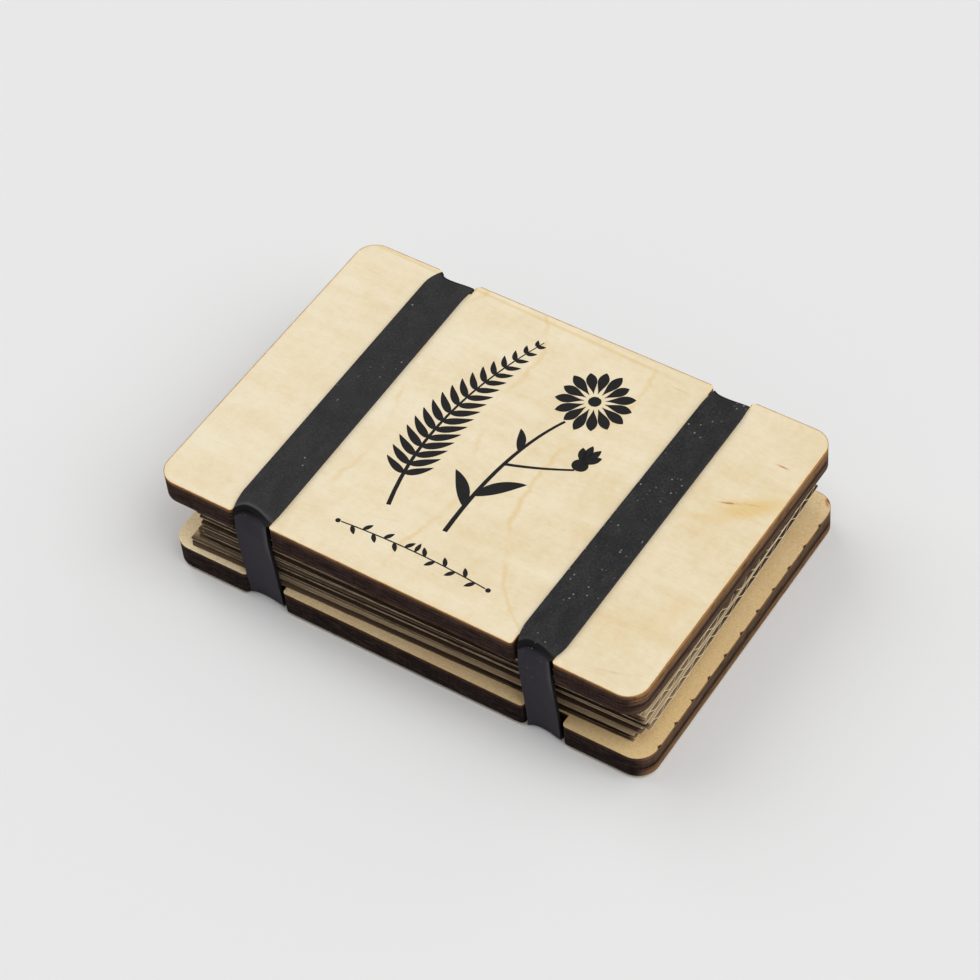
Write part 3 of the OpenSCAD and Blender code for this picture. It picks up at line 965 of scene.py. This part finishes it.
def closed_grid_mesh(name, points, wrap, painted_light):
    """A mesh from a grid of points that closes both ways, with the wrap of each as UV map and its painted light
    and shade as a colour attribute."""
    rows, columns = points.shape[:2]
    i, j = np.meshgrid(np.arange(rows), np.arange(columns), indexing="ij")
    corners = [(i, j), ((i + 1) % rows, j), ((i + 1) % rows, (j + 1) % columns), (i, (j + 1) % columns)]
    faces = np.stack([a * columns + b for a, b in corners], -1).reshape(-1, 4)
    mesh = bpy.data.meshes.new(name)
    mesh.from_pydata((points.reshape(-1, 3) * MM).tolist(), [], faces.tolist())
    mesh.polygons.foreach_set("use_smooth", np.ones(len(faces), bool))
    layer = mesh.uv_layers.new(name="wrap")
    corner_points = np.empty(len(mesh.loops), np.int32)
    mesh.loops.foreach_get("vertex_index", corner_points)
    layer.data.foreach_set("uv", wrap.reshape(-1, 2)[corner_points].astype(np.float32).ravel())
    wear_and_painted_light = mesh.color_attributes.new(name="painted_light", type="FLOAT_COLOR", domain="POINT")
    shades = np.concatenate([painted_light.reshape(-1, 3), np.ones((rows * columns, 1))], 1)
    wear_and_painted_light.data.foreach_set("color", shades.astype(np.float32).ravel())
    return mesh


def rubber_material(name, black, powder, crest_highlight):
    """Matt black rubber: cloudy, a little worn on top, cooler and finely pored on its sides, with a painted
    highlight on a lip's crest and along the right edge, painted shade in the crease under a lip and on the cut
    edges, and with grains of talc here and there."""
    material, tree, shader = new_material(name, roughness=0.78, specular=0.22)
    source = tree.nodes.new("ShaderNodeUVMap")
    source.uv_map = "wrap"
    place = Place(tree, source.outputs["UV"])
    painted_light = tree.nodes.new("ShaderNodeVertexColor")
    painted_light.layer_name = "painted_light"
    masks = tree.nodes.new("ShaderNodeSeparateColor")
    tree.links.new(painted_light.outputs["Color"], masks.inputs[0])
    lip, painted_crease_shade, edge_light = (Field(tree, mask) for mask in masks.outputs)
    clouds = place.noise(0.22, 0.14, 0, detail=3, roughness=0.6)
    grain = place.noise(1.7, 1.5, 0, detail=4, roughness=0.75)
    scuffs = place.noise(0.5, 1.9, 0, detail=3, roughness=0.7, shift=12).rise(0.6, 0.72)
    wear_and_painted_light = ((clouds - 0.5) * 1.2 + (grain - 0.5) * 1.9 + scuffs * 0.3 + 0.2).held()
    upright = surface_facing(tree).z.size().rise(0.75, 0.35)
    colour = Paint(tree, black).towards(RUBBER_WORN, wear_and_painted_light)
    colour = colour.towards(RUBBER_SIDE, upright * (1 - wear_and_painted_light * 0.6))
    pores = place.noise(2.2, 2.2, 0, detail=4, roughness=0.8, shift=51)
    colour = colour.towards(RUBBER_DARK, upright * pores.rise(0.42, 0.7) * 0.6)
    # Painted highlight along the right edge and on the lip's crest
    colour = colour.towards(RUBBER_HIGHLIGHT, (edge_light * (grain + 0.1) + lip * crest_highlight).least(1))
    # Painted shade in the crease under a lip and on the cut edges
    colour = colour.towards(RUBBER_PAINTED_SHADE, painted_crease_shade)
    away, lot = place.dots(1.1)
    patches = place.noise(0.16, 0.07, 0, detail=3, shift=33)
    grains = away.rise(0.32, 0.14) * lot.rise(0.96 - powder, 0.99 - powder) * patches.rise(0.42, 0.56)
    dust = place.noise(3.2, 3.2, 0, detail=3, roughness=0.8, shift=77).rise(0.6, 0.78) * patches.rise(0.5, 0.68)
    powdered = (grains * (lot * 0.6 + 0.1) + dust * powder * 1.2).least(1) * (1 - upright * 0.75)
    wire(tree, colour.towards(TALC, powdered), shader.inputs["Base Color"])
    raise_surface(tree, shader, grain * 0.6 + clouds * 0.4, 0.05)
    return material


# How each band looks: its black, how much talc lies on it, and how strong the painted highlight on its crest is
BAND_LOOKS = {"left": (RUBBER_BLACK, 0.01, 0.5), "right": (RUBBER_DARK, 0.2, 0.1)}


def add_bands():
    for side, (black, powder, crest_highlight) in BAND_LOOKS.items():
        mesh = closed_grid_mesh(f"elastic_{side}", *band_surface(BAND_LIES[side]))
        mesh.materials.append(rubber_material(f"rubber_{side}", black, powder, crest_highlight))
        band = link_object(f"elastic_{side}", mesh)
        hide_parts(f"rubber_band_{side}")
        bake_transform(band)


# The print on the upper board: garden plants in black, all flat shapes of one film

# The film's thickness, its clearance over the wood, how much higher each shape lies than the last, and how many
# points a shape has along it
INK_T = 0.03
INK_LIFT = 0.004
INK_STEP = 0.00004
STRIP_STEPS = 15


def curve_at(start, bend, end, s):
    """Point and unit direction at share s of a quadratic curve from start to end, drawn towards bend. The curve
    is (1-s)^2 start + 2s(1-s) bend + s^2 end, and s is a number or a column of them."""
    start, bend, end = (np.array(p, float) for p in (start, bend, end))
    point = (1 - s) ** 2 * start + 2 * s * (1 - s) * bend + s ** 2 * end
    along = 2 * (1 - s) * (bend - start) + 2 * s * (end - bend)
    return point, along / np.linalg.norm(along, axis=-1, keepdims=True)


def strip(start, bend, end, widths):
    """A flat strip along a quadratic curve, which reaches widths(s) to either side of it at share s of the way."""
    s = np.linspace(0, 1, STRIP_STEPS)[:, None]
    middle, along = curve_at(start, bend, end, s)
    sideways = np.stack([-along[:, 1], along[:, 0]], -1)
    reach = widths(s)
    return np.stack([middle - sideways * reach, middle, middle + sideways * reach], 1)


def stem(start, bend, end, thick, thin):
    return strip(start, bend, end, lambda s: thick + (thin - thick) * s)


def leaf(start, end, width, bow=0.0, fullest=0.45):
    """A blade from its stalk to its tip, widest at the fullest share of its length and bowed to one side."""
    start, end = np.array(start, float), np.array(end, float)
    across = np.array([-(end - start)[1], (end - start)[0]])
    power = math.log(0.5) / math.log(fullest)
    bend = (start + end) / 2 + across * bow
    return strip(start, bend, end, lambda s: 0.04 + width * np.sin(math.pi * s ** power) ** 0.85)


def disc(centre, radius, squash=1.0):
    """A flat oval as a strip: at share s of its height its half width is half the chord of a circle."""
    def half_chord(s):
        return 0.02 + radius * np.sqrt((1 - (2 * s - 1) ** 2).clip(0))

    x, y = centre
    reach = radius * squash
    return strip((x, y - reach), (x, y), (x, y + reach), half_chord)


def turned(vector, degrees):
    x, y = vector
    cos, sin = math.cos(math.radians(degrees)), math.sin(math.radians(degrees))
    return np.array([x * cos - y * sin, x * sin + y * cos])


def fern():
    """A frond: leaflets in pairs along a curved stalk, shorter towards the tip."""
    line = ((-13.0, -24.0), (-21.5, 4.0), (-9.0, 35.5))
    shapes = [stem(*line, 0.55, 0.12)]
    pairs = 17
    for k in range(pairs):
        climb = k / (pairs - 1)
        point, along = curve_at(*line, 0.17 + 0.8 * climb)
        length = 9.6 * math.sin(math.pi * (0.18 + 0.576 * (1 - climb))) ** 0.9 * (1 - 0.62 * climb)
        for side in (1, -1):
            tip = point + turned(along, side * (58 - 12 * k / pairs)) * length
            shapes.append(leaf(point, tip, 0.34 + 0.085 * length, bow=side * 0.09, fullest=0.36))
    return shapes


def daisy(centre, petals, inner, outer, width, start_turn):
    """Long petals round an open ring and a solid eye."""
    centre = np.array(centre, float)
    shapes = [disc(centre, inner * 0.62)]
    for k in range(petals):
        way = turned((1.0, 0.0), start_turn + 360 * k / petals)
        length = outer * (1 + 0.05 * math.sin(2.4 * k))
        shapes.append(leaf(centre + way * inner, centre + way * length, width, fullest=0.64))
    return shapes


def daisies():
    """A tall daisy and a bud on one forked stalk with two pairs of leaves."""
    line = ((2.5, -24.2), (1.0, 2.0), (8.5, 17.0))
    shapes = [stem(*line, 0.6, 0.34)]
    shapes += daisy((11.2, 25.6), 15, 2.5, 9.3, 1.28, 8)
    fork = curve_at(*line, 0.5)[0]
    shapes.append(stem(fork, (10.5, 1.5), (18.2, 5.6), 0.4, 0.28))
    shapes.append(disc((18.6, 7.4), 2.0, 0.9))
    bud = np.array((18.6, 7.8))
    for turn, reach in ((-34, 5.0), (-12, 6.0), (11, 6.0), (33, 5.0)):
        shapes.append(leaf(bud, bud + turned((0.12, 1.0), turn) * reach, 0.95, fullest=0.6))
    for s, turn, length, width in ((0.16, 42, 11.5, 1.5), (0.24, -44, 12.5, 1.6), (0.62, 40, 7.0, 1.05)):
        point, along = curve_at(*line, s)
        tip = point + turned(along, turn) * length
        shapes.append(leaf(point, tip, width, bow=-0.12 * math.copysign(1, turn)))
    return shapes


def garland():
    """A low twig under the plants, with a berry at each end and leaves to either side by turns, which point to
    its middle and stand up there."""
    line = ((-19.5, -33.4), (0.0, -31.6), (19.5, -33.4))
    shapes = [stem(*line, 0.16, 0.16)]
    leaves = 13
    for k in range(leaves):
        s = (k + 1) / (leaves + 1)
        point, along = curve_at(*line, s)
        side = 1 if k % 2 else -1
        half = 1 if k < leaves // 2 else -1
        way = turned(along * half, side * half * 52) if k != leaves // 2 else np.array((0.0, 1.0))
        shapes.append(leaf(point, point + way * 2.7, 0.52))
    shapes += [disc((-20.3, -33.5), 0.62), disc((20.3, -33.5), 0.62)]
    return shapes


def ink_material():
    """Black ink that lets a little of the grain show."""
    material, tree, shader = new_material("print_ink", roughness=0.6, specular=0.25)
    place = surface_place(tree)
    thin = place.noise(0.3, 4.5, 0, detail=4, roughness=0.7).rise(0.5, 0.8)
    wire(tree, Paint(tree, INK_BLACK).towards(INK_THIN, thin), shader.inputs["Base Color"])
    return material


def add_print():
    """Joins the flat shapes into one mesh, each a hair above the last, and gives it the film's thickness."""
    shapes = fern() + daisies() + garland()
    points, faces, first = [], [], 0
    for k, shape in enumerate(shapes):
        rows, columns = shape.shape[:2]
        height = UPPER_HIGH.z + INK_T + INK_LIFT + INK_STEP * k
        flat = shape.reshape(-1, 2) + UPPER_PLACE[:2]
        points.append(np.concatenate([flat, np.full((rows * columns, 1), height)], 1))
        i, j = (a.ravel() for a in np.meshgrid(np.arange(rows - 1), np.arange(columns - 1), indexing="ij"))
        corner = i * columns + j + first
        faces.append(np.stack([corner, corner + 1, corner + columns + 1, corner + columns], -1))
        first += rows * columns
    mesh = bpy.data.meshes.new("botanical_print")
    mesh.from_pydata((np.concatenate(points) * MM).tolist(), [], np.concatenate(faces)[:, ::-1].tolist())
    mesh.materials.append(ink_material())
    sheet = link_object("botanical_print", mesh)
    film = sheet.modifiers.new("film", "SOLIDIFY")
    film.thickness = INK_T * MM
    film.offset = -1.0
    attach(sheet, "top_board")


add_camera()
add_lights()
add_floor()
add_veneers()
add_cards()
add_blotters()
add_bands()
add_print()
